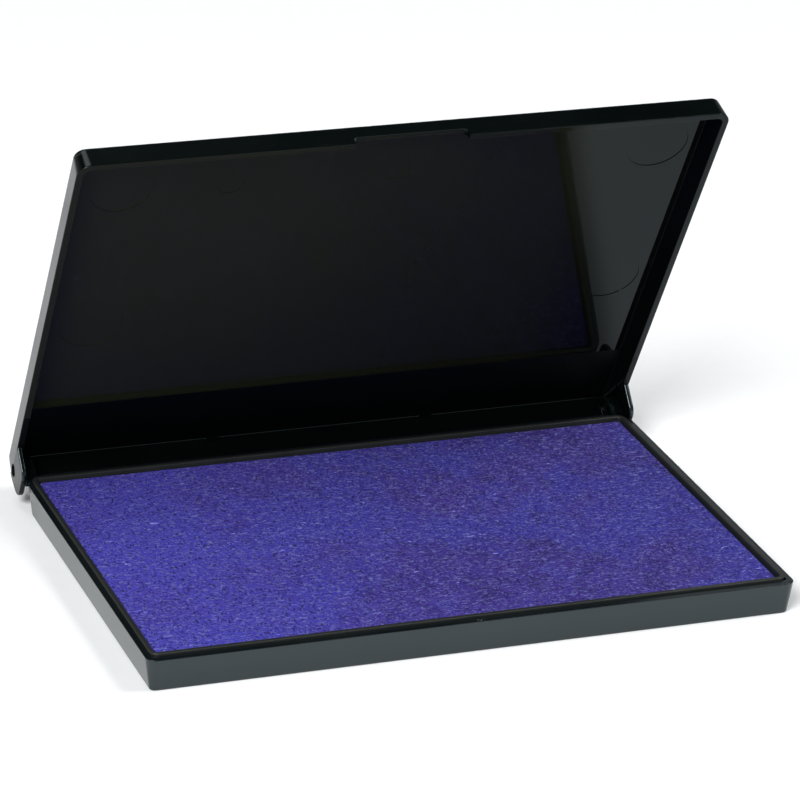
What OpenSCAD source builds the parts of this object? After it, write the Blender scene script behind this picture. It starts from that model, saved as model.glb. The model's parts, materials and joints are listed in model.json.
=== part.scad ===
// Hinged stamp pad: a slim moulded tray holding a cloth-covered ink pad,
// with a lid that turns on two short pins behind the tray.
// X runs along the width, Y from front to back and Z up. The origin is the
// middle of the tray's underside, and the lid is drawn at lid_open.

/* [Pad] */
// Length of the inked face, along X
pad_length = 110; // [90:1:130]
// Depth of the inked face, along Y
pad_depth = 70; // [50:1:90]
// Thickness of the cover cloth
cloth_t = 0.5; // [0.3:0.1:0.6]
// Thickness of the felt that stores the ink
felt_t = 2.4; // [2:0.1:2.8]
// Thickness of the stiff plate under the felt
plate_t = 0.8; // [0.6:0.1:1]
// Width of the cloth hem that is turned under the plate
hem_w = 7; // [4:0.5:10]
// Gap all round between the cloth and the frame
pad_gap = 0.3; // [0.2:0.05:0.5]

/* [Tray] */
// Thickness of the tray floor
floor_t = 1.4; // [1:0.1:1.6]
// Height of the ledge that the lid closes on
ledge_z = 5.8; // [5.6:0.1:7]
// Width of the ledge at the two sides
side_ledge = 1.1; // [1:0.05:1.4]
// Width of the ledge at the front and back
front_ledge = 1.6; // [1.4:0.05:2]
// How far the tray walls lean in at the bottom
tray_draft = 0.8; // [0.1:0.05:0.9]
// Upright corner radius at the front
tray_front_r = 1.8; // [1.2:0.1:2.6]
// Upright corner radius at the back, which lets the lid ears swing past
tray_rear_r = 4.5; // [4.3:0.1:5]

/* [Pad frame] */
// Wall thickness of the frame round the pad
frame_wall = 0.8; // [0.6:0.05:1]
// Height of the frame above the ledge
frame_rise = 0.4; // [0.3:0.05:0.7]
// Depth of the frame's seat below the ledge
frame_seat = 1.4; // [1:0.1:1.8]

/* [Lid] */
// Opening angle at which the lid is drawn, in degrees
lid_open = 61.4; // [0:0.1:180]
// Height of the lid from lip to outer face
lid_h = 4.5; // [4.2:0.1:6]
// Thickness of the lid panel
panel_t = 1.15; // [0.9:0.05:1.4]
// Thickness of the lid walls at the lip
lid_wall = 1.25; // [1.1:0.05:1.3]
// How far the lid stands out past each side of the tray
lid_overhang = 0.75; // [0.75:0.05:1]
// How far the lid stands out past the front of the tray
lid_front_overhang = 0.9; // [0.5:0.05:1]
// How far the lid's outer walls lean in towards the panel
lid_draft = 0.55; // [0.1:0.05:0.6]
// Gap between lip and ledge when closed
lid_gap = 0.1; // [0.05:0.05:0.2]
// Upright corner radius of the lid at the front
lid_corner_r = 2.4; // [1.8:0.1:3]
// Width of the thumb notch in the front lip
notch_w = 20.2; // [14:0.2:30]
// Height of the thumb notch
notch_h = 1.6; // [1.2:0.1:2]

/* [Hinge] */
// Distance of the hinge axis behind the tray
axis_back = 3.3; // [3.3:0.1:4]
// Diameter of the hinge pins
pin_d = 2.2; // [2:0.1:2.4]
// Radial clearance of the pins in the lid ears
pin_clearance = 0.05; // [0.03:0.01:0.1]
// How deep each pin end sits below the outside of its ear
pin_recess = 0.45; // [0.2:0.05:0.5]
// Thickness of the lid ears
ear_t = 0.9; // [0.8:0.05:0.9]
// Width of the tray lugs that hold the pins
lug_w = 2.4; // [2:0.1:3]

/* [Hidden] */

$fn = 48;
eps = 0.01;
cut = 1;                                    // how far a cutting shape runs past a face

// Plan sizes, from the pad outwards
opening_l = pad_length + 2 * pad_gap;
opening_d = pad_depth + 2 * pad_gap;
frame_l = opening_l + 2 * frame_wall;
frame_d = opening_d + 2 * frame_wall;
tray_l = frame_l + 2 * side_ledge;
tray_d = frame_d + 2 * front_ledge;
tray_back = tray_d / 2;
frame_fit = 0.05;                           // gap between the frame and its seat
frame_r = 1.5;                              // outer corner radius of the frame
pad_r = 0.8;                                // corner radius of the cloth

// Heights of the layers under the inked face
plate_z = floor_t + cloth_t;
felt_z = plate_z + plate_t;
cloth_z = felt_z + felt_t;
tape_margin = 1;                            // between the tape and the cloth hem

// Hinge
axis_drop = 0.1;                            // how far the axis lies below the ledge
axis_y = tray_back + axis_back;
axis_z = ledge_z - axis_drop;
lug_gap = 0.15;                             // between a lug and its ear
lug_r = 2.1;                                // radius of the lug's eye
lid_half = tray_l / 2 + lid_overhang;
ear_in = lid_half - ear_t;
lug_out = ear_in - lug_gap;
lug_in = lug_out - lug_w;
lug_root = 2;                               // how far a lug reaches into the rear wall
lug_root_drop = 0.3;                        // between the ledge and the lug's top there
lug_root_h = 1.4;                           // from the axis down to the underside of the lug's web
lug_root_y = tray_back - lug_root;
pin_inset = 0.2;                            // between a pin and the lug's inner face
pin_l = lid_half - pin_recess - lug_in - pin_inset;

// Lid, drawn closed and then turned open
lip_z = ledge_z + lid_gap;
lid_top = lip_z + lid_h;
panel_z = lid_top - panel_t;
lid_front = -tray_back - lid_front_overhang;
lid_tail = 2.3;                             // how far the lid reaches behind the axis
lid_back = axis_y + lid_tail;
lid_d = lid_back - lid_front;
lid_inner_draft = 1;                        // lean of the walls' inner faces
lid_inner_r = 1.6;
lid_rear_r = 0.8;
rear_wall_t = 1;
rear_wall_bottom = 3.5;                     // high enough to swing past the tray
ear_lead = 2.7;                             // from the ear's front edge at the lip to the tray's back
ear_toe = 1.5;                              // the same near the ear's bottom
ear_front = tray_back - ear_lead;
ear_bottom = 0.7;
ear_front_r = 2.2;
ear_rear_r = 2.2;
lug_room_lead = 1.3;                        // the lid is cleared round a lug from here
lug_room_y = tray_back - lug_room_lead;
lug_room_x = lug_in - lug_gap;
lug_room_top = axis_z + lug_root_h + lug_gap;
lug_room_r = lug_r + lug_gap;

// Small moulded details
nub_d = 1.2;
nub_h = 0.2;
rib_x = 20.3;
rib_t = 2.4;
rib_l = 2.2;                                // along the panel
rib_h = 0.9;                                // down the rear wall
notch_r = 0.7;
ejector_d = 11;
ejector_depth = 0.1;
ejector_x = 48;
ejector_rows = [-28.2, 6.8];
cavity_mark_d = 4.6;
cavity_mark_x = [-29, 0.5];
cavity_mark_y = -27.2;

black = [0.05, 0.055, 0.055];
rim_grey = [0.18, 0.18, 0.16];
violet = [0.28, 0.22, 0.62];

// Point where the line from p touches the circle of radius r round c.
// side is -1 for the point clockwise of p, seen from c, and 1 for the other one.
function tangent_point(p, c, r, side) =
    let (towards = atan2(p[1] - c[1], p[0] - c[0]), a = towards + side * acos(r / norm(p - c)))
    c + r * [cos(a), sin(a)];

// Flat rectangle with round corners, centred on the origin
module rounded_rect(l, d, r) {
    square([l - 2 * r, d], center = true);
    square([l, d - 2 * r], center = true);
    for (x = [-1, 1], y = [-1, 1])
        translate([x * (l / 2 - r), y * (d / 2 - r)]) circle(r);
}

module rounded_slab(l, d, h, r) {
    linear_extrude(h) rounded_rect(l, d, r);
}

// Upright block whose four walls lean in by low at the bottom and high at the top.
// The radii are those of a corner that doesn't lean.
module leaning_block(l, d, h, front_r, rear_r, low, high) {
    // the full length, between the corners
    translate([0, d / 2 - rear_r, 0]) rotate([90, 0, 0])
        linear_extrude(d - front_r - rear_r) lean_profile(l, h, low, high);
    // the full depth, with the front and rear halves as wide as their corners allow
    difference() {
        deep_slice(l - 2 * front_r, d, h, low, high);
        translate([-l, 0, -cut]) cube([2 * l, d, h + 2 * cut]);
    }
    difference() {
        deep_slice(l - 2 * rear_r, d, h, low, high);
        translate([-l, -d, -cut]) cube([2 * l, d, h + 2 * cut]);
    }
    for (x = [-1, 1]) {
        translate([x * (l / 2 - front_r), front_r - d / 2, 0])
            cylinder(h = h, r1 = front_r - low, r2 = front_r - high);
        translate([x * (l / 2 - rear_r), d / 2 - rear_r, 0])
            cylinder(h = h, r1 = rear_r - low, r2 = rear_r - high);
    }
}

module lean_profile(w, h, low, high) {
    polygon([[low - w / 2, 0], [w / 2 - low, 0], [w / 2 - high, h], [high - w / 2, h]]);
}

module deep_slice(w, d, h, low, high) {
    translate([-w / 2, 0, 0]) rotate([90, 0, 90])
        linear_extrude(w) lean_profile(d, h, low, high);
}

// Cylinder along X, from x to x + l, on the hinge axis
module on_axis(x, l, d) {
    translate([x, axis_y, axis_z]) rotate([0, 90, 0]) cylinder(h = l, d = d);
}

// Lug on the right of the tray, without its bore
module lug() {
    root = [lug_root_y, ledge_z - lug_root_drop];
    eye = [axis_y, axis_z];
    translate([lug_in, 0, 0]) rotate([90, 0, 90]) linear_extrude(lug_w) {
        translate(eye) circle(lug_r);
        polygon([root, tangent_point(root, eye, lug_r, -1), eye,
                 [axis_y, axis_z - lug_root_h], [lug_root_y, axis_z - lug_root_h]]);
    }
}

module both_sides() {
    children();
    mirror([1, 0, 0]) children();
}

module base_tray() {
    color(black) difference() {
        union() {
            leaning_block(tray_l, tray_d, ledge_z, tray_front_r, tray_rear_r, tray_draft, 0);
            both_sides() lug();
            translate([0, front_ledge / 2 - tray_d / 2, ledge_z - eps])
                cylinder(h = nub_h + eps, d = nub_d);
        }
        translate([0, 0, floor_t])
            rounded_slab(opening_l, opening_d, ledge_z, pad_r);
        translate([0, 0, ledge_z - frame_seat])
            rounded_slab(frame_l + 2 * frame_fit, frame_d + 2 * frame_fit, ledge_z, frame_r);
        both_sides() on_axis(lug_in - cut, lug_w + 2 * cut, pin_d);
    }
}

module pad_frame() {
    frame_h = frame_seat + frame_rise;
    color(rim_grey) translate([0, 0, ledge_z - frame_seat]) difference() {
        rounded_slab(frame_l, frame_d, frame_h, frame_r);
        translate([0, 0, -cut]) rounded_slab(opening_l, opening_d, frame_h + 2 * cut, pad_r);
    }
}

module mounting_tape() {
    inset = 2 * (hem_w + tape_margin);
    color("ivory") translate([0, 0, floor_t])
        rounded_slab(pad_length - inset, pad_depth - inset, cloth_t, pad_r);
}

module backing_plate() {
    color("tan") translate([0, 0, plate_z])
        rounded_slab(pad_length - 2 * cloth_t, pad_depth - 2 * cloth_t, plate_t, pad_r - cloth_t);
}

module felt_core() {
    color("slateblue") translate([0, 0, felt_z])
        rounded_slab(pad_length - 2 * cloth_t, pad_depth - 2 * cloth_t, felt_t, pad_r - cloth_t);
}

// Cloth over the felt and down its sides, with a hem turned under the plate
module cover_cloth() {
    color(violet) difference() {
        translate([0, 0, floor_t])
            rounded_slab(pad_length, pad_depth, cloth_z + cloth_t - floor_t, pad_r);
        translate([0, 0, plate_z])
            rounded_slab(pad_length - 2 * cloth_t, pad_depth - 2 * cloth_t,
                         plate_t + felt_t, pad_r - cloth_t);
        translate([0, 0, floor_t - cut])
            rounded_slab(pad_length - 2 * hem_w, pad_depth - 2 * hem_w, cloth_t + 2 * cut, pad_r);
    }
}

// Ear on the right of the lid: a plate that narrows downwards, with two round lower corners
module ear() {
    front = [tray_back - ear_toe + ear_front_r, ear_bottom + ear_front_r];
    rear = [lid_back - ear_rear_r, ear_bottom + ear_rear_r];
    brow = [ear_front, lip_z];
    translate([ear_in, 0, 0]) rotate([90, 0, 90]) linear_extrude(ear_t) {
        translate(front) circle(ear_front_r);
        translate(rear) circle(ear_rear_r);
        polygon([[front[0], ear_bottom], [rear[0], ear_bottom], rear, [lid_back, rear[1]],
                 [lid_back, lip_z + eps], brow + [0, eps], brow,
                 tangent_point(brow, front, ear_front_r, 1), front]);
    }
}

// Small gusset between the lid panel and its rear wall
module rib(x) {
    wall_y = lid_back - rear_wall_t;
    translate([x - rib_t / 2, 0, 0]) rotate([90, 0, 90]) linear_extrude(rib_t)
        polygon([[wall_y + eps, panel_z + eps], [wall_y - rib_l, panel_z + eps],
                 [wall_y - rib_l, panel_z], [wall_y, panel_z - rib_h],
                 [wall_y + eps, panel_z - rib_h]]);
}

// Part of the rear wall below the lip, as tall as it can be and still turn behind the tray
module rear_wall() {
    wall_l = 2 * (lid_half - lid_wall);
    translate([-wall_l / 2, lid_back - rear_wall_t, rear_wall_bottom])
        cube([wall_l, rear_wall_t, lip_z - rear_wall_bottom + eps]);
}

// Hollow of the lid: its side and front walls lean, and its rear wall is upright
module lid_hollow() {
    inner_h = panel_z - lip_z;
    hollow_front = lid_front + lid_wall;
    hollow_back = lid_back + lid_inner_r + lid_inner_draft;
    difference() {
        translate([0, (hollow_front + hollow_back) / 2, lip_z - eps])
            leaning_block(2 * (lid_half - lid_wall), hollow_back - hollow_front,
                          inner_h + eps, lid_inner_r, lid_inner_r, 0, lid_inner_draft);
        translate([-lid_half, lid_back - rear_wall_t, lip_z - cut])
            cube([2 * lid_half, hollow_back - lid_back + 2 * rear_wall_t, inner_h + 2 * cut]);
    }
}

module lid_closed() {
    mid_y = (lid_front + lid_back) / 2;
    difference() {
        union() {
            difference() {
                translate([0, mid_y, lip_z])
                    leaning_block(2 * lid_half, lid_d, lid_h, lid_corner_r, lid_rear_r, 0, lid_draft);
                lid_hollow();
            }
            rear_wall();
            both_sides() ear();
            for (x = [-rib_x, rib_x]) rib(x);
        }
        // thumb notch
        translate([0, lid_front + 2 * lid_wall, lip_z]) rotate([90, 0, 0])
            rounded_slab(notch_w, 2 * notch_h, 3 * lid_wall, notch_r);
        // room for the lugs, and the pin holes
        both_sides() {
            translate([lug_room_x, lug_room_y, ear_bottom - cut])
                cube([ear_in - lug_room_x, lid_back, lug_room_top - ear_bottom + cut]);
            on_axis(lug_room_x, ear_in - lug_room_x, 2 * lug_room_r);
            on_axis(ear_in - cut, ear_t + 2 * cut, pin_d + 2 * pin_clearance);
        }
        // shallow rounds left by the mould's ejector pins
        for (x = [-ejector_x, ejector_x], y = ejector_rows)
            translate([x, y, panel_z - cut]) cylinder(h = cut + ejector_depth, d = ejector_d);
        for (x = cavity_mark_x)
            translate([x, cavity_mark_y, panel_z - cut])
                cylinder(h = cut + ejector_depth, d = cavity_mark_d);
    }
}

module lid() {
    color(black)
        translate([0, axis_y, axis_z]) rotate([-lid_open, 0, 0])
        translate([0, -axis_y, -axis_z]) lid_closed();
}

module hinge_pin_right() {
    color("silver") on_axis(lid_half - pin_recess - pin_l, pin_l, pin_d);
}

module hinge_pin_left() {
    mirror([1, 0, 0]) hinge_pin_right();
}

base_tray();
pad_frame();
mounting_tape();
backing_plate();
felt_core();
cover_cloth();
lid();
hinge_pin_left();
hinge_pin_right();
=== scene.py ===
"""Looks of a hinged stamp pad: glossy black tray and lid, and a napped violet ink pad."""
import json
import math

import bmesh
import bpy
import numpy as np
from mathutils import Matrix, Vector, noise


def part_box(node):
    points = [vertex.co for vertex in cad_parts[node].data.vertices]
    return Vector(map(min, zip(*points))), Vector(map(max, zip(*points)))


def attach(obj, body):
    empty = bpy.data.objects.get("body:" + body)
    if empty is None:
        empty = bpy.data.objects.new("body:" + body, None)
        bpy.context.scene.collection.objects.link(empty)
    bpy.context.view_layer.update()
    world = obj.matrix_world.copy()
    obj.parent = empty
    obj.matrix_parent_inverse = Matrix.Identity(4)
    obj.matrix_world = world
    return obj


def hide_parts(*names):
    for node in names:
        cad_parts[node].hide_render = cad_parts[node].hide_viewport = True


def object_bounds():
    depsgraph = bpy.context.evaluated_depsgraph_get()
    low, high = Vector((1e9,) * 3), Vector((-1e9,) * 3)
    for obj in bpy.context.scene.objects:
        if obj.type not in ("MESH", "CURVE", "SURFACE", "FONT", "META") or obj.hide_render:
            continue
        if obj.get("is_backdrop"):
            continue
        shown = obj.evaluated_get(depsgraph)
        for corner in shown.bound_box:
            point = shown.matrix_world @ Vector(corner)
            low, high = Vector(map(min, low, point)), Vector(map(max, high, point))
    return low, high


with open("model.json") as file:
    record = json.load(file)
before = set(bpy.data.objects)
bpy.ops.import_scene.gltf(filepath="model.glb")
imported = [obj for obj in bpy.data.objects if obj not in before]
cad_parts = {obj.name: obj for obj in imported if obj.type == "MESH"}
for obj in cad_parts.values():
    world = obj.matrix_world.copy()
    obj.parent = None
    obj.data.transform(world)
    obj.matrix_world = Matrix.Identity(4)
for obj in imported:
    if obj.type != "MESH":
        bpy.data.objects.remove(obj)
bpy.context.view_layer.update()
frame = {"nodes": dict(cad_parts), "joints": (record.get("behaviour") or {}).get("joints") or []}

MM = 0.001

# ---------------------------------------------------------------- sizes from the frame
hinge = frame["joints"][0]
AXIS = Vector(hinge["pos_m"])
LID_OPEN = math.radians(-hinge["range_deg"][0])
AXIS_Y, AXIS_Z = AXIS.y, AXIS.z

tray_low, tray_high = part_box("base_tray")
frame_low, frame_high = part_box("pad_frame")
cloth_low, cloth_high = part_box("cover_cloth")
pin_low, pin_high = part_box("hinge_pin_right")

# The lid turned back to its closed place, where its walls are upright
OPENING = Matrix.Translation(AXIS) @ Matrix.Rotation(-LID_OPEN, 4, "X") @ Matrix.Translation(-AXIS)
CLOSING = OPENING.inverted()
lid_closed = [CLOSING @ v.co for v in frame["nodes"]["lid"].data.vertices]
LID_HALF = max(p.x for p in lid_closed)
LID_FRONT = min(p.y for p in lid_closed)
LID_BACK = max(p.y for p in lid_closed)
LID_TOP = max(p.z for p in lid_closed)
EAR_BOTTOM = min(p.z for p in lid_closed)

TRAY_HALF = tray_high.x
TRAY_FRONT = tray_low.y
TRAY_BACK = -TRAY_FRONT
LEDGE_X = TRAY_HALF - frame_high.x
LEDGE_Y = TRAY_BACK - frame_high.y
LEDGE_Z = AXIS_Z + 0.1 * MM

# ---------------------------------------------------------------- moulding details, as in the CAD
TRAY_DRAFT = 0.8 * MM
TRAY_RADII = (1.8 * MM, 4.5 * MM)
FLOOR_T = cloth_low.z
FRAME_WALL = 0.8 * MM
FRAME_R = 1.5 * MM
LIP_Z = LEDGE_Z + 0.1 * MM
PANEL_T = 1.15 * MM
PANEL_Z = LID_TOP - PANEL_T
LID_WALL = 1.25 * MM
LID_DRAFT = 0.55 * MM
LID_INNER_DRAFT = 1.0 * MM
LID_RADII = (2.4 * MM, 0.8 * MM)
TOP_EDGE_R = 0.55 * MM
REAR_EDGE_R = 1.6 * MM
REAR_WALL_T = 1 * MM
REAR_WALL_Y = LID_BACK - REAR_WALL_T
REAR_WALL_BOTTOM = 3.5 * MM
EAR_T = 0.9 * MM
EAR_FRONT = TRAY_BACK - 2.7 * MM
EAR_TOE = TRAY_BACK - 1.5 * MM
EAR_R = 2.2 * MM
LUG_GAP = 0.15 * MM
LUG_W = 2.4 * MM
LUG_R = 2.1 * MM
LUG_OUT = LID_HALF - EAR_T - LUG_GAP
LUG_IN = LUG_OUT - LUG_W
LUG_ROOM = LUG_IN - LUG_GAP
LUG_ROOT_H = 1.4 * MM
PIN_R = (pin_high.z - pin_low.z) / 2
PIN_HOLE_R = PIN_R + 0.05 * MM
NOTCH_HALF = 10.1 * MM
NOTCH_H = 1.6 * MM
NOTCH_R = 0.7 * MM
RIB_X = 20.3 * MM
RIB_HALF = 1.2 * MM
RIB_L = 2.2 * MM
RIB_H = 0.9 * MM
MARK_DEPTH = 0.1 * MM
EJECTOR_R = 5.5 * MM
EJECTOR_PLACES = [(x * MM, y * MM) for x in (-48, 48) for y in (-28.2, 6.8)]
CAVITY_MARK_R = 2.3 * MM
CAVITY_MARKS = [(-29 * MM, -27.2 * MM), (0.5 * MM, -27.2 * MM)]
NUB_R = 0.6 * MM
NUB_H = 0.2 * MM


# ---------------------------------------------------------------- mesh tools
def soften(points, cuts, steps=4):
    """The open polyline with each inner corner replaced by a small curve that starts `cut` before it."""
    pts = [np.array(p, float) for p in points]
    out = [pts[0]]
    for i in range(1, len(pts) - 1):
        cut = cuts[i]
        if cut <= 0:
            out.append(pts[i])
            continue
        before, after = pts[i - 1] - pts[i], pts[i + 1] - pts[i]
        start = pts[i] + before / np.linalg.norm(before) * min(cut, np.linalg.norm(before) * 0.48)
        end = pts[i] + after / np.linalg.norm(after) * min(cut, np.linalg.norm(after) * 0.48)
        for k in range(steps + 1):
            t = k / steps
            out.append((1 - t) ** 2 * start + 2 * t * (1 - t) * pts[i] + t * t * end)
    out.append(pts[-1])
    return out


def loop(half_x, front, back, radii, z, sides=(1, 1), corner_steps=8):
    """Points of a rectangle with round corners, anticlockwise from the left end of its front edge.
    sides are how many segments its X and Y edges have, and radii its front and rear corner radii."""
    corners = [
        (half_x, front, -90, radii[0]), (half_x, back, 0, radii[1]),
        (-half_x, back, 90, radii[1]), (-half_x, front, 180, radii[0]),
    ]
    arcs = []
    for x, y, start, r in corners:
        cx = x - math.copysign(r, x)
        cy = y + (r if y == front else -r)
        arcs.append([
            Vector((cx + r * math.cos(a), cy + r * math.sin(a), z))
            for a in (math.radians(start + 90 * k / corner_steps) for k in range(corner_steps + 1))
        ])
    points = []
    for i, arc in enumerate(arcs):
        last = arcs[i - 1][-1]
        n = sides[i % 2]
        points += [last.lerp(arc[0], k / n) for k in range(1, n)]
        points += arc
    return points


def stack(bm, rings, close=False, caps=True):
    """Joins rings of equal length with quads. close joins the last ring to the first."""
    made = [[bm.verts.new(p) for p in ring] for ring in rings]
    pairs = list(zip(made, made[1:]))
    if close:
        pairs.append((made[-1], made[0]))
    for a, b in pairs:
        for i in range(len(a)):
            j = (i + 1) % len(a)
            bm.faces.new((a[i], a[j], b[j], b[i]))
    if caps and not close:
        bm.faces.new(list(reversed(made[0])))
        bm.faces.new(made[-1])
    return made


def outward(bm):
    bmesh.ops.recalc_face_normals(bm, faces=bm.faces)


def to_object(name, bm):
    outward(bm)
    mesh = bpy.data.meshes.new(name)
    bm.to_mesh(mesh)
    bm.free()
    obj = bpy.data.objects.new(name, mesh)
    bpy.context.scene.collection.objects.link(obj)
    return obj


def rounding(z, top, r):
    """How far an edge of radius r has rounded inwards at height z."""
    rise = max(z - (top - r), 0)
    return r - math.sqrt(max(r * r - rise * rise, 0))


def inset_loops(half_x, front, back, radii, profile, sides=(1, 1)):
    """One loop for each (side inset, front inset, rear inset, z) of a profile."""
    smallest = 0.05 * MM
    rings = []
    for i_side, i_front, i_rear, z in profile:
        r_front = max(radii[0] - (i_side + i_front) / 2, smallest)
        r_rear = max(radii[1] - (i_side + i_rear) / 2, smallest)
        rings.append(loop(half_x - i_side, front + i_front, back - i_rear, (r_front, r_rear), z, sides))
    return rings


def plate(name, outline, x0, x1, edge):
    """A plate between x0 and x1 with an outline of (y, z) points and softened edges."""
    pts = [Vector(p) for p in outline]
    n = len(pts)
    area = sum(pts[i].x * pts[(i + 1) % n].y - pts[(i + 1) % n].x * pts[i].y for i in range(n))
    turn = 1 if area > 0 else -1
    normals = []
    for i in range(n):
        a = (pts[i] - pts[i - 1]).normalized()
        b = (pts[(i + 1) % n] - pts[i]).normalized()
        m = (a + b).normalized()
        normals.append(Vector((-m.y, m.x)) * turn)
    steps = 3
    levels = []
    for k in range(steps + 1):
        a = math.pi / 2 * k / steps
        levels.append((edge * (1 - math.cos(a)), edge * (1 - math.sin(a))))
    rings = []
    for depth, inset in levels:
        rings.append([Vector((x0 + depth, *(p + q * inset))) for p, q in zip(pts, normals)])
    for depth, inset in reversed(levels):
        rings.append([Vector((x1 - depth, *(p + q * inset))) for p, q in zip(pts, normals)])
    bm = bmesh.new()
    stack(bm, rings)
    return to_object(name, bm)


def block(name, half_x, low, high, edge):
    """A box with softened edges, centred on X, between two (y, z) corners."""
    flat = [(edge * 2, edge * 2, edge * 2, low[1]), (0, 0, 0, low[1]),
            (0, 0, 0, high[1]), (edge * 2, edge * 2, edge * 2, high[1])]
    bm = bmesh.new()
    stack(bm, inset_loops(half_x, low[0], high[0], (edge, edge), soften(flat, [0, edge, edge, 0], 3)))
    return to_object(name, bm)


def lathe(name, profile, turn, count=40):
    """A solid of revolution about Z from (radius, height) points, then turned by a matrix."""
    rings = [
        [Vector((r * math.cos(a), r * math.sin(a), h))
         for a in (2 * math.pi * k / count for k in range(count))]
        for r, h in profile
    ]
    bm = bmesh.new()
    stack(bm, rings)
    bmesh.ops.transform(bm, matrix=turn, verts=bm.verts)
    return to_object(name, bm)


def combine(obj, others, how):
    """Boolean union or difference of obj with each of the others, which are then removed."""
    for other in others:
        mod = obj.modifiers.new("cut", "BOOLEAN")
        mod.operation = how
        mod.solver = "EXACT"
        mod.object = other
        dg = bpy.context.evaluated_depsgraph_get()
        mesh = bpy.data.meshes.new_from_object(obj.evaluated_get(dg))
        obj.modifiers.remove(mod)
        old = obj.data
        obj.data = mesh
        bpy.data.meshes.remove(old)
        bpy.data.objects.remove(other)
    return obj


def crisp(obj, sharp_angle=38):
    """Smooth shading with sharp edges kept, and flat faces kept flat."""
    bm = bmesh.new()
    bm.from_mesh(obj.data)
    bmesh.ops.remove_doubles(bm, verts=bm.verts, dist=1e-7)
    bmesh.ops.dissolve_degenerate(bm, edges=bm.edges, dist=1e-7)
    limit = math.radians(sharp_angle)
    for f in bm.faces:
        f.smooth = True
    for e in bm.edges:
        e.smooth = len(e.link_faces) != 2 or e.calc_face_angle(0) < limit
    bm.to_mesh(obj.data)
    bm.free()
    mod = obj.modifiers.new("normals", "WEIGHTED_NORMAL")
    mod.keep_sharp = True
    mod.mode = "FACE_AREA"
    return obj


def along_x(x, y=AXIS_Y, z=AXIS_Z):
    """Turns a lathe's Z axis to +X, with its foot at (x, y, z)."""
    return Matrix.Translation((x, y, z)) @ Matrix.Rotation(math.pi / 2, 4, "Y")


# ---------------------------------------------------------------- materials
BLACK, DEEP_GREY = (0.0004, 0.0012, 0.001), (0.0008, 0.002, 0.0018)
DUST = (0.09, 0.09, 0.088)
OUTSIDE_TINT = (0.78, 0.94, 1.0)
INSIDE_TINT = (0.54, 0.78, 0.9)
PATCH_TURN = (0, 0, 0.6)
# Where the panel's painted reflection, a grey field, ends towards the hinge, in the closed lid and then in
# the open one
FIELD_END_Y = 28.6 * MM
FIELD_END_Z = (OPENING @ Vector((0, FIELD_END_Y, PANEL_Z))).z


def new_material(name):
    mat = bpy.data.materials.new(name)
    mat.use_nodes = True
    nodes, links = mat.node_tree.nodes, mat.node_tree.links
    nodes.clear()
    out = nodes.new("ShaderNodeOutputMaterial")
    shader = nodes.new("ShaderNodeBsdfPrincipled")
    links.new(shader.outputs[0], out.inputs["Surface"])
    where = nodes.new("ShaderNodeTexCoord")
    return mat, nodes, links, shader, where.outputs["Object"]


def noise_tex(nodes, links, where, scale, detail=4, rough=0.55, stretch=None, turn=None, distort=0.0):
    """A noise texture whose scale counts features per metre of the object."""
    if stretch or turn:
        mapping = nodes.new("ShaderNodeMapping")
        mapping.inputs["Scale"].default_value = stretch or (1, 1, 1)
        mapping.inputs["Rotation"].default_value = turn or (0, 0, 0)
        links.new(where, mapping.inputs["Vector"])
        where = mapping.outputs["Vector"]
    tex = nodes.new("ShaderNodeTexNoise")
    tex.inputs["Scale"].default_value = scale
    tex.inputs["Detail"].default_value = detail
    tex.inputs["Roughness"].default_value = rough
    tex.inputs["Distortion"].default_value = distort
    links.new(where, tex.inputs["Vector"])
    return tex.outputs["Fac"]


def remap(nodes, links, value, low, high, to_low, to_high, smooth=True):
    node = nodes.new("ShaderNodeMapRange")
    node.interpolation_type = "SMOOTHSTEP" if smooth else "LINEAR"
    for name, number in (("From Min", low), ("From Max", high), ("To Min", to_low), ("To Max", to_high)):
        node.inputs[name].default_value = number
    links.new(value, node.inputs["Value"])
    return node.outputs["Result"]


def mix_colour(nodes, links, share, a, b):
    node = nodes.new("ShaderNodeMix")
    node.data_type = "RGBA"
    links.new(share, node.inputs["Factor"])
    for socket, colour in (("A", a), ("B", b)):
        target = [i for i in node.inputs if i.name == socket and i.type == "RGBA"][0]
        if isinstance(colour, tuple):
            target.default_value = (*colour, 1)
        else:
            links.new(colour, target)
    return [o for o in node.outputs if o.type == "RGBA"][0]


def maths(nodes, links, how, a, b):
    node = nodes.new("ShaderNodeMath")
    node.operation = how
    for i, value in enumerate((a, b)):
        if isinstance(value, (int, float)):
            node.inputs[i].default_value = value
        else:
            links.new(value, node.inputs[i])
    return node.outputs[0]


def bump(nodes, links, height, distance, strength, before=None):
    node = nodes.new("ShaderNodeBump")
    node.inputs["Distance"].default_value = distance
    node.inputs["Strength"].default_value = strength
    links.new(height, node.inputs["Height"])
    if before is not None:
        links.new(before, node.inputs["Normal"])
    return node.outputs["Normal"]


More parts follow.
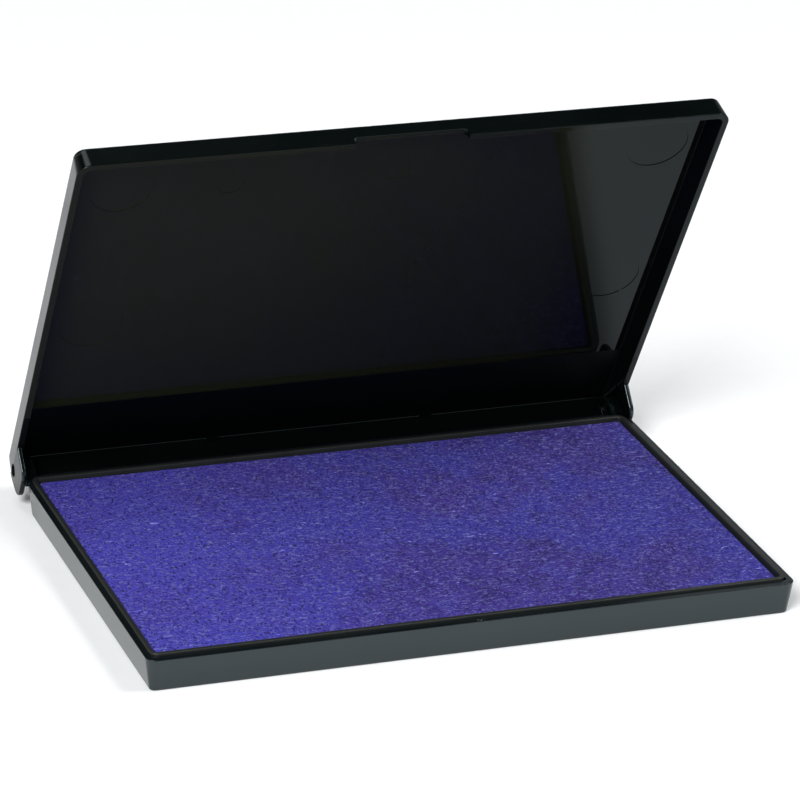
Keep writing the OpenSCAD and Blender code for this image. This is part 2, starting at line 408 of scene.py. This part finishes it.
def black_plastic(name, dark, light, polish, specular, tint, ior=1.5):
    """Glossy injection-moulded plastic: faint cloudiness, hairline scratches and moulding ripple."""
    mat, nodes, links, shader, where = new_material(name)
    cloud = noise_tex(nodes, links, where, 45, 5, 0.6)
    colour = mix_colour(nodes, links, remap(nodes, links, cloud, 0.3, 0.7, 0, 1), dark, light)
    dust = noise_tex(nodes, links, where, 2600, 2, 0.5)
    specks = remap(nodes, links, dust, 0.76, 0.82, 0, 0.35)
    colour = mix_colour(nodes, links, specks, colour, DUST)
    links.new(colour, shader.inputs["Base Color"])
    scratch_a = noise_tex(nodes, links, where, 60, 3, 0.6, (1, 34, 1), (0, 0, 0.5))
    scratch_b = noise_tex(nodes, links, where, 60, 3, 0.6, (30, 1, 1), (0, 0, -0.25))
    scratches = maths(nodes, links, "MAXIMUM",
                      remap(nodes, links, scratch_a, 0.68, 0.74, 0, 1),
                      remap(nodes, links, scratch_b, 0.7, 0.76, 0, 1))
    smear = remap(nodes, links, noise_tex(nodes, links, where, 28, 4, 0.65, distort=0.6), 0.35, 0.75, 0, 0.07)
    rough = maths(nodes, links, "ADD", smear, polish)
    rough = maths(nodes, links, "ADD", rough, maths(nodes, links, "MULTIPLY", scratches, 0.08))
    links.new(rough, shader.inputs["Roughness"])
    shader.inputs["IOR"].default_value = ior
    shader.inputs["Specular IOR Level"].default_value = specular
    shader.inputs["Specular Tint"].default_value = tint + (1,)
    ripple = noise_tex(nodes, links, where, 90, 2, 0.5)
    grain = noise_tex(nodes, links, where, 1500, 3, 0.6)
    normal = bump(nodes, links, ripple, 0.00003, 0.25)
    normal = bump(nodes, links, grain, 0.000004, 0.35, normal)
    links.new(normal, shader.inputs["Normal"])
    return mat


def panel_with_painted_reflection(name, grey, black):
    """The lid panel's inside: a dark grey painted reflection, lighter at the left from painted light, and a
    black matt strip along the hinge.
    """
    mat = black_plastic(name, black, black, 0.03, 0.16, INSIDE_TINT)
    nodes, links = mat.node_tree.nodes, mat.node_tree.links
    shader = next(n for n in nodes if n.type == "BSDF_PRINCIPLED")
    where = nodes.new("ShaderNodeTexCoord")
    split = nodes.new("ShaderNodeSeparateXYZ")
    links.new(where.outputs["Object"], split.inputs[0])
    blur = 0.15 * MM
    # the grey field is a painted reflection, with a sharp edge towards the hinge
    field = remap(nodes, links, split.outputs["Z"], FIELD_END_Z - blur, FIELD_END_Z + blur, 0, 1)
    strip = maths(nodes, links, "SUBTRACT", 1.0, field)
    gloss = shader.inputs["Roughness"].links[0].from_socket
    rough = maths(nodes, links, "ADD", gloss, maths(nodes, links, "MULTIPLY", strip, 0.4))
    links.new(rough, shader.inputs["Roughness"])
    # painted reflection: the grey is lighter at the left as painted light and thins out towards the right
    # wall
    painted_light_across = remap(nodes, links, split.outputs["X"], -35 * MM, 45 * MM, 1.05, 0.5)
    reflection_fade_near_wall = remap(nodes, links, split.outputs["X"], 30 * MM, 53 * MM, 1, 0.12)
    painted_reflection = maths(nodes, links, "MULTIPLY", maths(nodes, links, "MULTIPLY", field, painted_light_across), reflection_fade_near_wall)
    cloud = noise_tex(nodes, links, where.outputs["Object"], 30, 5, 0.6)
    # the painted reflection's grey, with a little random cloudiness
    dull = mix_colour(nodes, links, cloud, tuple(c * 0.85 for c in grey), tuple(c * 1.15 for c in grey))
    base = shader.inputs["Base Color"].links[0].from_socket
    links.new(mix_colour(nodes, links, painted_reflection, base, dull), shader.inputs["Base Color"])
    return mat


def satin_plastic(name, dark, light, rough_low, rough_high):
    """Spark-textured plastic: fine even grain and a dull sheen."""
    mat, nodes, links, shader, where = new_material(name)
    cloud = noise_tex(nodes, links, where, 120, 4, 0.6)
    colour = mix_colour(nodes, links, remap(nodes, links, cloud, 0.3, 0.7, 0, 1), dark, light)
    links.new(colour, shader.inputs["Base Color"])
    grain = noise_tex(nodes, links, where, 5200, 3, 0.7)
    links.new(remap(nodes, links, grain, 0.3, 0.7, rough_low, rough_high), shader.inputs["Roughness"])
    links.new(bump(nodes, links, grain, 0.00002, 0.5), shader.inputs["Normal"])
    return mat


def inked_cloth(name, blue, violet, dark, fleck):
    """Napped cloth damp with ink: short tangled fibres, pale flecks and darker soaked patches.
    Painted light makes it lighter at the left end, and painted shade makes it darker at the rear right
    corner."""
    mat, nodes, links, shader, where = new_material(name)
    patch = noise_tex(nodes, links, where, 75, 5, 0.62, (1, 0.8, 1), PATCH_TURN)
    broad = noise_tex(nodes, links, where, 18, 2, 0.5, (1, 1, 1), PATCH_TURN)
    patch = maths(nodes, links, "ADD", maths(nodes, links, "MULTIPLY", patch, 0.65),
                  maths(nodes, links, "MULTIPLY", broad, 0.35))
    colour = mix_colour(nodes, links, remap(nodes, links, patch, 0.42, 0.58, 0, 1), blue, violet)
    soaked = noise_tex(nodes, links, where, 330, 4, 0.7, (1, 0.6, 1), distort=0.8)
    soaked = maths(nodes, links, "ADD", maths(nodes, links, "MULTIPLY", soaked, 0.7),
                   maths(nodes, links, "MULTIPLY", patch, 0.3))
    colour = mix_colour(nodes, links, remap(nodes, links, soaked, 0.5, 0.62, 0, 0.62), colour, dark)
    split = nodes.new("ShaderNodeSeparateXYZ")
    links.new(where, split.inputs[0])
    # painted light: the colour is lighter towards the left end
    painted_light_left = remap(nodes, links, split.outputs["X"], -48 * MM, 12 * MM, 0.36, 0)
    colour = mix_colour(nodes, links, painted_light_left, colour, tuple(1.9 * c for c in blue))
    # painted shade: the colour is darker towards the rear right corner
    diagonal = maths(nodes, links, "ADD", split.outputs["X"], split.outputs["Y"])
    painted_shade_rear_right = remap(nodes, links, diagonal, 25 * MM, 85 * MM, 0, 0.3)
    colour = mix_colour(nodes, links, painted_shade_rear_right, colour, dark)
    fibres = None
    for turn, size in ((0.5, 2300), (-0.6, 2000), (1.5, 1800)):
        strand = noise_tex(nodes, links, where, size, 2, 0.6, (0.5, 1.0, 1), (0, 0, turn), 0.9)
        strand = remap(nodes, links, strand, 0.55, 0.7, 0, 1)
        fibres = strand if fibres is None else maths(nodes, links, "MAXIMUM", fibres, strand)
    colour = mix_colour(nodes, links, maths(nodes, links, "MULTIPLY", fibres, 0.75), colour, fleck)
    pits = remap(nodes, links, noise_tex(nodes, links, where, 2300, 3, 0.7, (1, 0.55, 1)), 0.36, 0.47, 1, 0)
    colour = mix_colour(nodes, links, pits, colour, dark)
    stray = noise_tex(nodes, links, where, 900, 2, 0.5, (0.5, 1.6, 1), (0, 0, 0.3), 1.2)
    stray = remap(nodes, links, stray, 0.7, 0.75, 0, 0.7)
    colour = mix_colour(nodes, links, stray, colour, tuple(min(1, 2.2 * c) for c in fleck))
    links.new(colour, shader.inputs["Base Color"])
    shader.inputs["Roughness"].default_value = 0.8
    shader.inputs["Specular IOR Level"].default_value = 0.1
    shader.inputs["Sheen Weight"].default_value = 0.03
    shader.inputs["Sheen Roughness"].default_value = 0.5
    shader.inputs["Sheen Tint"].default_value = (0.4, 0.4, 0.9, 1)
    normal = bump(nodes, links, noise_tex(nodes, links, where, 1100, 4, 0.7), 0.00015, 0.7)
    normal = bump(nodes, links, fibres, 0.0001, 0.8, normal)
    links.new(normal, shader.inputs["Normal"])
    return mat


def steel(name):
    """Plain drawn steel wire with fine lines round it."""
    mat, nodes, links, shader, where = new_material(name)
    turned = noise_tex(nodes, links, where, 900, 3, 0.6, (8, 1, 1))
    colour = mix_colour(nodes, links, turned, (0.03, 0.03, 0.032), (0.06, 0.06, 0.063))
    links.new(colour, shader.inputs["Base Color"])
    shader.inputs["Metallic"].default_value = 1
    links.new(remap(nodes, links, turned, 0.3, 0.7, 0.28, 0.45), shader.inputs["Roughness"])
    links.new(bump(nodes, links, turned, 0.00001, 0.4), shader.inputs["Normal"])
    return mat


def foam(name):
    """Pale closed-cell foam."""
    mat, nodes, links, shader, where = new_material(name)
    cells = noise_tex(nodes, links, where, 1800, 3, 0.7)
    colour = mix_colour(nodes, links, cells, (0.62, 0.6, 0.52), (0.8, 0.78, 0.7))
    links.new(colour, shader.inputs["Base Color"])
    shader.inputs["Roughness"].default_value = 0.8
    links.new(bump(nodes, links, cells, 0.0001, 0.5), shader.inputs["Normal"])
    return mat


def dress(obj, mat):
    obj.data.materials.clear()
    obj.data.materials.append(mat)
    return obj


LID_BLACK = black_plastic("lid black", BLACK, DEEP_GREY, 0.21, 0.5, OUTSIDE_TINT, 1.27)
LID_WALLS = black_plastic("lid inner walls", (0.0008, 0.0013, 0.0013), (0.0014, 0.002, 0.002), 0.1, 0.1,
                          INSIDE_TINT)
LID_INSIDE = panel_with_painted_reflection("lid panel inside", (0.0138, 0.015, 0.0075), (0.0006, 0.0008, 0.0008))
TRAY_BLACK = black_plastic("tray black", BLACK, DEEP_GREY, 0.15, 0.75, OUTSIDE_TINT)
TRAY_LEDGE = black_plastic("tray ledge", (0.0025, 0.0045, 0.0055), (0.0045, 0.0065, 0.0075), 0.22, 0.5,
                           OUTSIDE_TINT)
RIM_GREY = satin_plastic("rim grey", (0.0092, 0.0107, 0.0092), (0.013, 0.0148, 0.0128), 0.4, 0.5)
CLOTH = inked_cloth("inked cloth", (0.033, 0.029, 0.245), (0.039, 0.023, 0.19), (0.0125, 0.0075, 0.07),
                    (0.15, 0.155, 0.43))
FELT = inked_cloth("soaked felt", (0.03, 0.025, 0.14), (0.035, 0.02, 0.11), (0.015, 0.01, 0.06),
                   (0.08, 0.07, 0.25))
STEEL = steel("pin steel")
FOAM = foam("foam tape")
PLATE = satin_plastic("backing plate", (0.55, 0.52, 0.44), (0.66, 0.63, 0.55), 0.5, 0.62)


# ---------------------------------------------------------------- tray
def make_tray_shell():
    """Leaning walls and a ledge, a seat for the frame and, inside it, a well for the pad."""
    seat = frame_low.z
    well_x = LEDGE_X + FRAME_WALL
    well_y = LEDGE_Y + FRAME_WALL
    profile = [
        (TRAY_DRAFT + 3 * MM,) * 3 + (0,),
        (TRAY_DRAFT,) * 3 + (0,),
        (0, 0, 0, LEDGE_Z),
        (LEDGE_X, LEDGE_Y, LEDGE_Y, LEDGE_Z),
        (LEDGE_X, LEDGE_Y, LEDGE_Y, seat),
        (well_x, well_y, well_y, seat),
        (well_x, well_y, well_y, FLOOR_T),
        (well_x + MM, well_y + MM, well_y + MM, FLOOR_T),
    ]
    cuts = [0, 0.4 * MM, 0.22 * MM, 0.12 * MM, 0, 0, 0, 0]
    bm = bmesh.new()
    stack(bm, inset_loops(TRAY_HALF, TRAY_FRONT, TRAY_BACK, TRAY_RADII, soften(profile, cuts)))
    return to_object("tray", bm)


def make_lug(side):
    """Hinge lug: a round eye about the hinge axis, with its root inside the tray's rear wall."""
    root_y = TRAY_BACK - 1.2 * MM
    steps = 26
    start = math.asin(-math.sqrt(1 - (LUG_ROOT_H / LUG_R) ** 2))
    end = math.radians(200)
    turns = [start + (end - start) * k / steps for k in range(steps + 1)]
    eye = [(AXIS_Y + LUG_R * math.sin(a), AXIS_Z - LUG_R * math.cos(a)) for a in turns]
    outline = [(root_y, AXIS_Z - LUG_ROOT_H)] + eye + [(root_y, LEDGE_Z - 0.3 * MM)]
    x0, x1 = sorted((side * LUG_IN, side * LUG_OUT))
    return plate("lug", outline, x0, x1, 0.18 * MM)


def make_nub():
    """Small domed nub in the middle of the front ledge."""
    profile = [(NUB_R, -0.3 * MM), (NUB_R, 0.08 * MM), (NUB_R * 0.8, NUB_H * 0.85), (NUB_R * 0.4, NUB_H)]
    return lathe("nub", profile, Matrix.Translation((0, TRAY_FRONT + LEDGE_Y / 2, LEDGE_Z)), 20)


def make_tray():
    tray = make_tray_shell()
    combine(tray, [make_lug(-1), make_lug(1), make_nub()], "UNION")
    bores = [lathe("bore", [(PIN_R, 0), (PIN_R, LUG_W + 2 * MM)], along_x(x))
             for x in (LUG_IN - MM, -LUG_OUT - MM)]
    combine(tray, bores, "DIFFERENCE")
    crisp(dress(tray, TRAY_BLACK))
    tray.data.materials.append(TRAY_LEDGE)
    ledge_slot = 1
    for face in tray.data.polygons:
        if face.normal.z > 0.5 and abs(face.center.z - LEDGE_Z) < 0.2 * MM:
            face.material_index = ledge_slot
    return tray


# ---------------------------------------------------------------- frame round the pad
def make_pad_frame():
    base, top = frame_low.z, frame_high.z
    w = FRAME_WALL
    profile = [
        (0.4 * w, base), (0, base), (0, top), (w, top), (w, base), (0.6 * w, base),
    ]
    cuts = [0, 0.05 * MM, 0.16 * MM, 0.16 * MM, 0.05 * MM, 0]
    soft = [(p[0], p[0], p[0], p[1]) for p in soften(profile, cuts)]
    bm = bmesh.new()
    rings = inset_loops(frame_high.x, frame_low.y, frame_high.y, (FRAME_R, FRAME_R), soft)
    stack(bm, rings, close=True)
    return crisp(dress(to_object("pad_rim", bm), RIM_GREY))


# ---------------------------------------------------------------- lid, made closed and then opened
def make_lid_shell():
    """Panel and walls in one skin: down the outside, round the lip and up the inside."""
    step = 3 * MM
    brow = 0.25 * MM
    inner = [
        (brow, brow, brow, LIP_Z),
        (LID_WALL, LID_WALL, REAR_WALL_T, LIP_Z),
        (LID_WALL + LID_INNER_DRAFT, LID_WALL + LID_INNER_DRAFT, REAR_WALL_T, PANEL_Z),
        (LID_WALL + LID_INNER_DRAFT + step, LID_WALL + LID_INNER_DRAFT + step,
         REAR_WALL_T + step, PANEL_Z),
    ]
    inner = soften(inner, [0, 0.2 * MM, 0.3 * MM, 0])
    steps = 12
    levels = [LID_TOP - REAR_EDGE_R * (1 - math.sin(math.pi / 2 * k / steps)) for k in range(steps, -1, -1)]
    outer = []
    for z in levels:
        lean = LID_DRAFT * (z - LIP_Z) / (LID_TOP - LIP_Z)
        side = lean + rounding(z, LID_TOP, TOP_EDGE_R)
        outer.append((side, side, lean + rounding(z, LID_TOP, REAR_EDGE_R), z))
    outer += soften([outer[-1], (0, 0, 0, LIP_Z), inner[0]], [0, brow, 0])[1:-1]
    outer.insert(0, tuple(v + step for v in outer[0][:3]) + (LID_TOP,))
    bm = bmesh.new()
    stack(bm, inset_loops(LID_HALF, LID_FRONT, LID_BACK, LID_RADII, outer + inner))
    return to_object("lid_shell", bm)


def make_lid():
    lid = make_lid_shell()
    hair = 0.01 * MM
    rear = block("rear", LUG_ROOM, (REAR_WALL_Y + hair, REAR_WALL_BOTTOM),
                 (LID_BACK - hair, LIP_Z + 0.6 * MM), 0.2 * MM)
    ears = [make_ear(side) for side in (-1, 1)]
    ribs = [make_rib(x) for x in (-RIB_X, RIB_X)]
    combine(lid, [rear] + ears + ribs, "UNION")

    cutters = []
    for side in (-1, 1):
        cutters += [make_lug_room(side), make_pin_hole(side)]
    cutters.append(make_notch())
    cutters += [make_mark(EJECTOR_R, x, y) for x, y in EJECTOR_PLACES]
    cutters += [make_mark(CAVITY_MARK_R, x, y) for x, y in CAVITY_MARKS]
    combine(lid, cutters, "DIFFERENCE")
    crisp(dress(lid, LID_BLACK))
    finish_lid(lid)
    lid.data.transform(OPENING)
    return lid


def make_rib(x):
    """Small sloping rib in the corner between the panel and the rear wall."""
    sunk = 0.2 * MM
    outline = [(REAR_WALL_Y + sunk, PANEL_Z + sunk), (REAR_WALL_Y - RIB_L, PANEL_Z + sunk),
               (REAR_WALL_Y - RIB_L, PANEL_Z), (REAR_WALL_Y, PANEL_Z - RIB_H),
               (REAR_WALL_Y + sunk, PANEL_Z - RIB_H)]
    return plate("rib", outline, x - RIB_HALF, x + RIB_HALF, 0.04 * MM)


def make_lug_room(side):
    """Cutter for the opening in the rear wall, in which a tray lug stays clear of the turning lid."""
    x0, x1 = sorted((side * LUG_ROOM, side * (LID_HALF - EAR_T)))
    swing, ceiling = LUG_R + LUG_GAP, LUG_ROOT_H + LUG_GAP
    start = math.asin(ceiling / swing)
    steps = 16
    arch = [(AXIS_Y + swing * math.cos(a), AXIS_Z + swing * math.sin(a))
            for a in (start + (math.pi - 2 * start) * k / steps for k in range(steps + 1))]
    front = TRAY_BACK - 1.3 * MM
    outline = [(front, -MM), (LID_BACK + MM, -MM), (LID_BACK + MM, AXIS_Z + ceiling)]
    outline += arch + [(front, AXIS_Z + ceiling)]
    return plate("room", outline, x0, x1, 0)


def make_pin_hole(side):
    """Cutter for the pin's hole through an ear, flared at the ear's outer face."""
    flare = 0.15 * MM
    profile = [(PIN_HOLE_R, -3 * MM), (PIN_HOLE_R, -flare), (PIN_HOLE_R + flare, 0.001 * MM),
               (PIN_HOLE_R + flare, MM)]
    mirror = Matrix.Diagonal((side, 1, 1, 1))
    return lathe("hole", profile, mirror @ along_x(LID_HALF))


def make_mark(r, x, y):
    """Cutter for a shallow round in the panel, with a narrow sloping rim."""
    rim_r = r + 0.03 * MM
    profile = [(rim_r, -MM), (rim_r, 0), (r, MARK_DEPTH)]
    return lathe("mark", profile, Matrix.Translation((x, y, PANEL_Z)), 48)


def finish_lid(lid):
    """Gives the closed lid's panel, lip, inner walls and small rounded edges their own finishes."""
    panel_slot, wall_slot, edge_slot = 1, 2, 3
    for mat in (LID_INSIDE, LID_WALLS, TRAY_BLACK):
        lid.data.materials.append(mat)
    side_edge, front_edge = LID_HALF - LID_WALL / 2, LID_FRONT + LID_WALL / 2
    for face in lid.data.polygons:
        mid, facing = face.center, face.normal
        within = abs(mid.x) < side_edge and front_edge < mid.y < LID_BACK - REAR_WALL_T / 2
        fillet = within and mid.y > REAR_WALL_Y - 0.3 * MM and facing.y < -0.15 and facing.z < -0.15
        ear_edge = abs(mid.x) > LID_HALF - EAR_T and mid.z < LIP_Z and facing.y < -0.2
        panel = mid.z > PANEL_Z - 0.1 * MM or facing.z < -0.8
        lip = facing.z < -0.7 and abs(mid.z - LIP_Z) < 0.1 * MM
        if ear_edge or fillet:
            face.material_index = edge_slot
        elif within and mid.z < PANEL_Z + 0.3 * MM:
            face.material_index = panel_slot if panel else wall_slot
        # the lip takes the panel's material, so it carries its painted reflection too
        elif lip:
            face.material_index = panel_slot


def make_ear(side):
    """Hinge ear, flush with the lid's side wall, which leans in above the lip."""
    r = EAR_R
    top = LIP_Z + MM
    toe = Vector((EAR_TOE + r, EAR_BOTTOM + r))
    brow = Vector((EAR_FRONT, LIP_Z)) - toe
    start = math.atan2(brow.y, brow.x) + math.acos(r / brow.length)
    front = [(toe.x + r * math.cos(a), toe.y + r * math.sin(a))
             for a in (start + (1.5 * math.pi - start) * k / 10 for k in range(11))]
    rear = [(LID_BACK - r + r * math.sin(a), EAR_BOTTOM + r - r * math.cos(a))
            for a in (math.radians(d) for d in range(0, 91, 9))]
    outline = [(EAR_FRONT, top), (EAR_FRONT, LIP_Z)] + front + rear + [(LID_BACK, LIP_Z), (LID_BACK, top)]
    ear = plate("ear", outline, LID_HALF - EAR_T, LID_HALF, 0.25 * MM)
    lean = LID_DRAFT / (LID_TOP - LIP_Z)
    for v in ear.data.vertices:
        if v.co.z > LIP_Z + 0.001 * MM:
            v.co.x -= (v.co.z - LIP_Z) * lean + 0.004 * MM
    if side < 0:
        ear.data.transform(Matrix.Diagonal((-1, 1, 1, 1)))
        ear.data.flip_normals()
    return ear


def make_notch():
    """Cutter for the thumb notch, wider at the wall's two faces so that its edges come out softened."""
    flare = 0.22 * MM
    mid = LID_FRONT + LID_WALL / 2
    lean = LID_DRAFT / (LID_TOP - LIP_Z)
    levels = [(-1.6, flare), (-0.6, flare), (-0.52, flare * 0.45), (-0.35, 0),
              (0.35, 0), (0.52, flare * 0.45), (0.6, flare), (1.6, flare)]
    rings = []
    for share, grow in levels:
        half, height, r = NOTCH_HALF + grow, NOTCH_H + grow, NOTCH_R + grow
        y = mid + share * LID_WALL
        ring = loop(half, -height, height, (r, r), 0)
        rings.append([Vector((p.x, y + p.y * lean, LIP_Z + p.y)) for p in ring])
    bm = bmesh.new()
    stack(bm, rings)
    return to_object("notch", bm)


# ---------------------------------------------------------------- hinge pins
def make_pin(name, low, high):
    """A short straight pin with chamfered ends."""
    r = PIN_R
    length = high.x - low.x
    chamfer = 0.18 * MM
    profile = [(r * 0.55, 0), (r - chamfer, 0.02 * MM), (r - chamfer * 0.3, chamfer * 0.4), (r, chamfer),
               (r, length - chamfer), (r - chamfer * 0.3, length - chamfer * 0.4),
               (r - chamfer, length - 0.02 * MM), (r * 0.55, length)]
    return crisp(dress(lathe(name, profile, along_x(low.x), 36), STEEL))


# ---------------------------------------------------------------- inked pad
def make_pad():
    """The cloth over the felt: a napped top, soft edges, sides and a hem turned under."""
    thick = 0.5 * MM
    hem = 7 * MM
    margin = 1.2 * MM
    corner_r = 0.8 * MM
    top, bottom = cloth_high.z, cloth_low.z
    nx, ny, corner = 216, 136, 4
    half_x, half_y = cloth_high.x, cloth_high.y

    def rings_of(profile):
        out = []
        for inset, z in profile:
            r = max(corner_r - inset, 0.06 * MM)
            out.append(loop(half_x - inset, -half_y + inset, half_y - inset, (r, r), z, (nx, ny), corner))
        return out

    outer = [(hem, bottom + thick), (hem, bottom), (0, bottom), (0, top), (margin, top)]
    outer = soften(outer, [0, 0.1 * MM, 0.25 * MM, 0.4 * MM, 0], 5)
    inner = [(margin, top - thick), (thick, top - thick), (thick, bottom + thick)]
    inner = soften(inner, [0, 0.15 * MM, 0], 2)
    # One skin: from under the top, down inside the sides, round the hem and up the outside
    bm = bmesh.new()
    made = stack(bm, rings_of(inner + outer), caps=False)
    fill_grid(bm, made[0], nx, ny, corner)
    fill_grid(bm, made[-1], nx, ny, corner)
    outward(bm)
    for v in bm.verts:
        if v.co.z > top - thick / 2:
            rough = noise.noise(v.co * 900) + 0.6 * noise.noise(v.co * 2100)
            swell = noise.noise(v.co * 60)
            v.co.z += (0.022 * rough + 0.03 * swell - 0.05) * MM
        elif abs(v.co.x) > half_x - thick / 2 or abs(v.co.y) > half_y - thick / 2:
            v.co.xy *= 1 - 0.0004 * abs(noise.noise(v.co * 700))
    pad = to_object("inked_pad", bm)
    for face in pad.data.polygons:
        face.use_smooth = True
    return dress(pad, CLOTH)


def fill_grid(bm, ring, nx, ny, corner):
    """Fills a loop with a grid, halving each corner between the two edges that it joins."""
    half = corner // 2
    cols, rows = nx + corner, ny + corner
    n = len(ring)
    start = (n - half) % n
    at = [ring[(start + i) % n] for i in range(n)]
    grid = [[None] * (rows + 1) for _ in range(cols + 1)]
    k = 0
    for i in range(cols + 1):
        grid[i][0] = at[(k + i) % n]
    k = cols
    for j in range(rows + 1):
        grid[cols][j] = at[(k + j) % n]
    k += rows
    for i in range(cols + 1):
        grid[cols - i][rows] = at[(k + i) % n]
    k += cols
    for j in range(rows + 1):
        grid[0][rows - j] = at[(k + j) % n]
    south_west, south_east = grid[0][0].co, grid[cols][0].co
    north_west, north_east = grid[0][rows].co, grid[cols][rows].co
    for i in range(1, cols):
        u = i / cols
        for j in range(1, rows):
            w = j / rows
            place = (grid[i][0].co * (1 - w) + grid[i][rows].co * w
                     + grid[0][j].co * (1 - u) + grid[cols][j].co * u
                     - south_west * (1 - u) * (1 - w) - south_east * u * (1 - w)
                     - north_west * (1 - u) * w - north_east * u * w)
            grid[i][j] = bm.verts.new(place)
    for i in range(cols):
        for j in range(rows):
            bm.faces.new((grid[i][j], grid[i + 1][j], grid[i + 1][j + 1], grid[i][j + 1]))


# ---------------------------------------------------------------- the object
tray = make_tray()
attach(tray, "tray")
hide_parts("base_tray")

rim = make_pad_frame()
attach(rim, "tray")
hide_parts("pad_frame")

lid = make_lid()
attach(lid, "lid")
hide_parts("lid")

for side in ("left", "right"):
    node = "hinge_pin_" + side
    low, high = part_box(node)
    pin = make_pin("steel_pin_" + side, low, high)
    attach(pin, "tray")
    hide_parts(node)

dress(frame["nodes"]["felt_core"], FELT)
dress(frame["nodes"]["backing_plate"], PLATE)
dress(frame["nodes"]["mounting_tape"], FOAM)
pad = make_pad()
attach(pad, "tray")
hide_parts("cover_cloth")


# ---------------------------------------------------------------- floor, light and camera
def make_stage():
    bm = bmesh.new()
    bmesh.ops.create_grid(bm, x_segments=1, y_segments=1, size=6)
    floor = to_object("floor", bm)
    mat, nodes, links, shader, where = new_material("floor")
    paper = noise_tex(nodes, links, where, 300, 3, 0.6)
    colour = mix_colour(nodes, links, paper, (0.834, 0.843, 0.852), (0.864, 0.873, 0.882))
    links.new(colour, shader.inputs["Base Color"])
    shader.inputs["Roughness"].default_value = 0.9
    shader.inputs["Specular IOR Level"].default_value = 0.1
    dress(floor, mat)
    floor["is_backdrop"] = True


def area_light(name, place, aim, size, watts):
    data = bpy.data.lights.new(name, "AREA")
    data.shape = "RECTANGLE"
    data.size, data.size_y = size
    data.energy = watts
    obj = bpy.data.objects.new(name, data)
    bpy.context.scene.collection.objects.link(obj)
    obj.location = place
    obj.rotation_mode = "QUATERNION"
    obj.rotation_quaternion = (Vector(aim) - Vector(place)).to_track_quat("-Z", "Y")


def make_lights():
    area_light("front left box", (-0.85, -0.8, 1.05), (0, 0, 0), (0.8, 0.6), 27.5)
    area_light("right box", (0.95, -0.25, 1.2), (0, 0, 0), (0.7, 0.6), 13)
    area_light("back box", (-0.2, 0.75, 1.5), (0, 0.1, 0), (0.8, 0.5), 5)
    world = bpy.data.worlds.new("studio")
    bpy.context.scene.world = world
    world.use_nodes = True
    nodes, links = world.node_tree.nodes, world.node_tree.links
    nodes.clear()
    out = nodes.new("ShaderNodeOutputWorld")
    back = nodes.new("ShaderNodeBackground")
    where = nodes.new("ShaderNodeTexCoord")
    split = nodes.new("ShaderNodeSeparateXYZ")
    links.new(where.outputs["Generated"], split.inputs[0])
    level = remap(nodes, links, split.outputs["Z"], 0.3, 0.75, 0.42, 0.03)
    links.new(level, back.inputs["Strength"])
    back.inputs["Color"].default_value = (0.92, 0.98, 1, 1)
    links.new(back.outputs[0], out.inputs["Surface"])
    bpy.context.scene.view_settings.view_transform = "Standard"


def make_camera():
    """A long lens, a little above and to the left of the object."""
    data = bpy.data.cameras.new("camera")
    data.sensor_width = 36
    data.lens = 196.24
    data.clip_start, data.clip_end = 0.05, 20
    cam = bpy.data.objects.new("camera", data)
    bpy.context.scene.collection.objects.link(cam)
    place = Vector((-246.1, -636.1, 317.9)) * MM
    yaw, pitch, roll = (math.radians(a) for a in (21.03, 22.9, 2.6))
    ahead = Vector((math.sin(yaw) * math.cos(pitch), math.cos(yaw) * math.cos(pitch), -math.sin(pitch)))
    level = Vector((math.cos(yaw), -math.sin(yaw), 0))
    rise = level.cross(ahead)
    right = level * math.cos(roll) + rise * math.sin(roll)
    up = rise * math.cos(roll) - level * math.sin(roll)
    basis = Matrix((right, up, -ahead)).transposed()
    cam.matrix_world = Matrix.Translation(place) @ basis.to_4x4()
    bpy.context.scene.camera = cam


make_stage()
make_lights()
make_camera()

low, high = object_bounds()
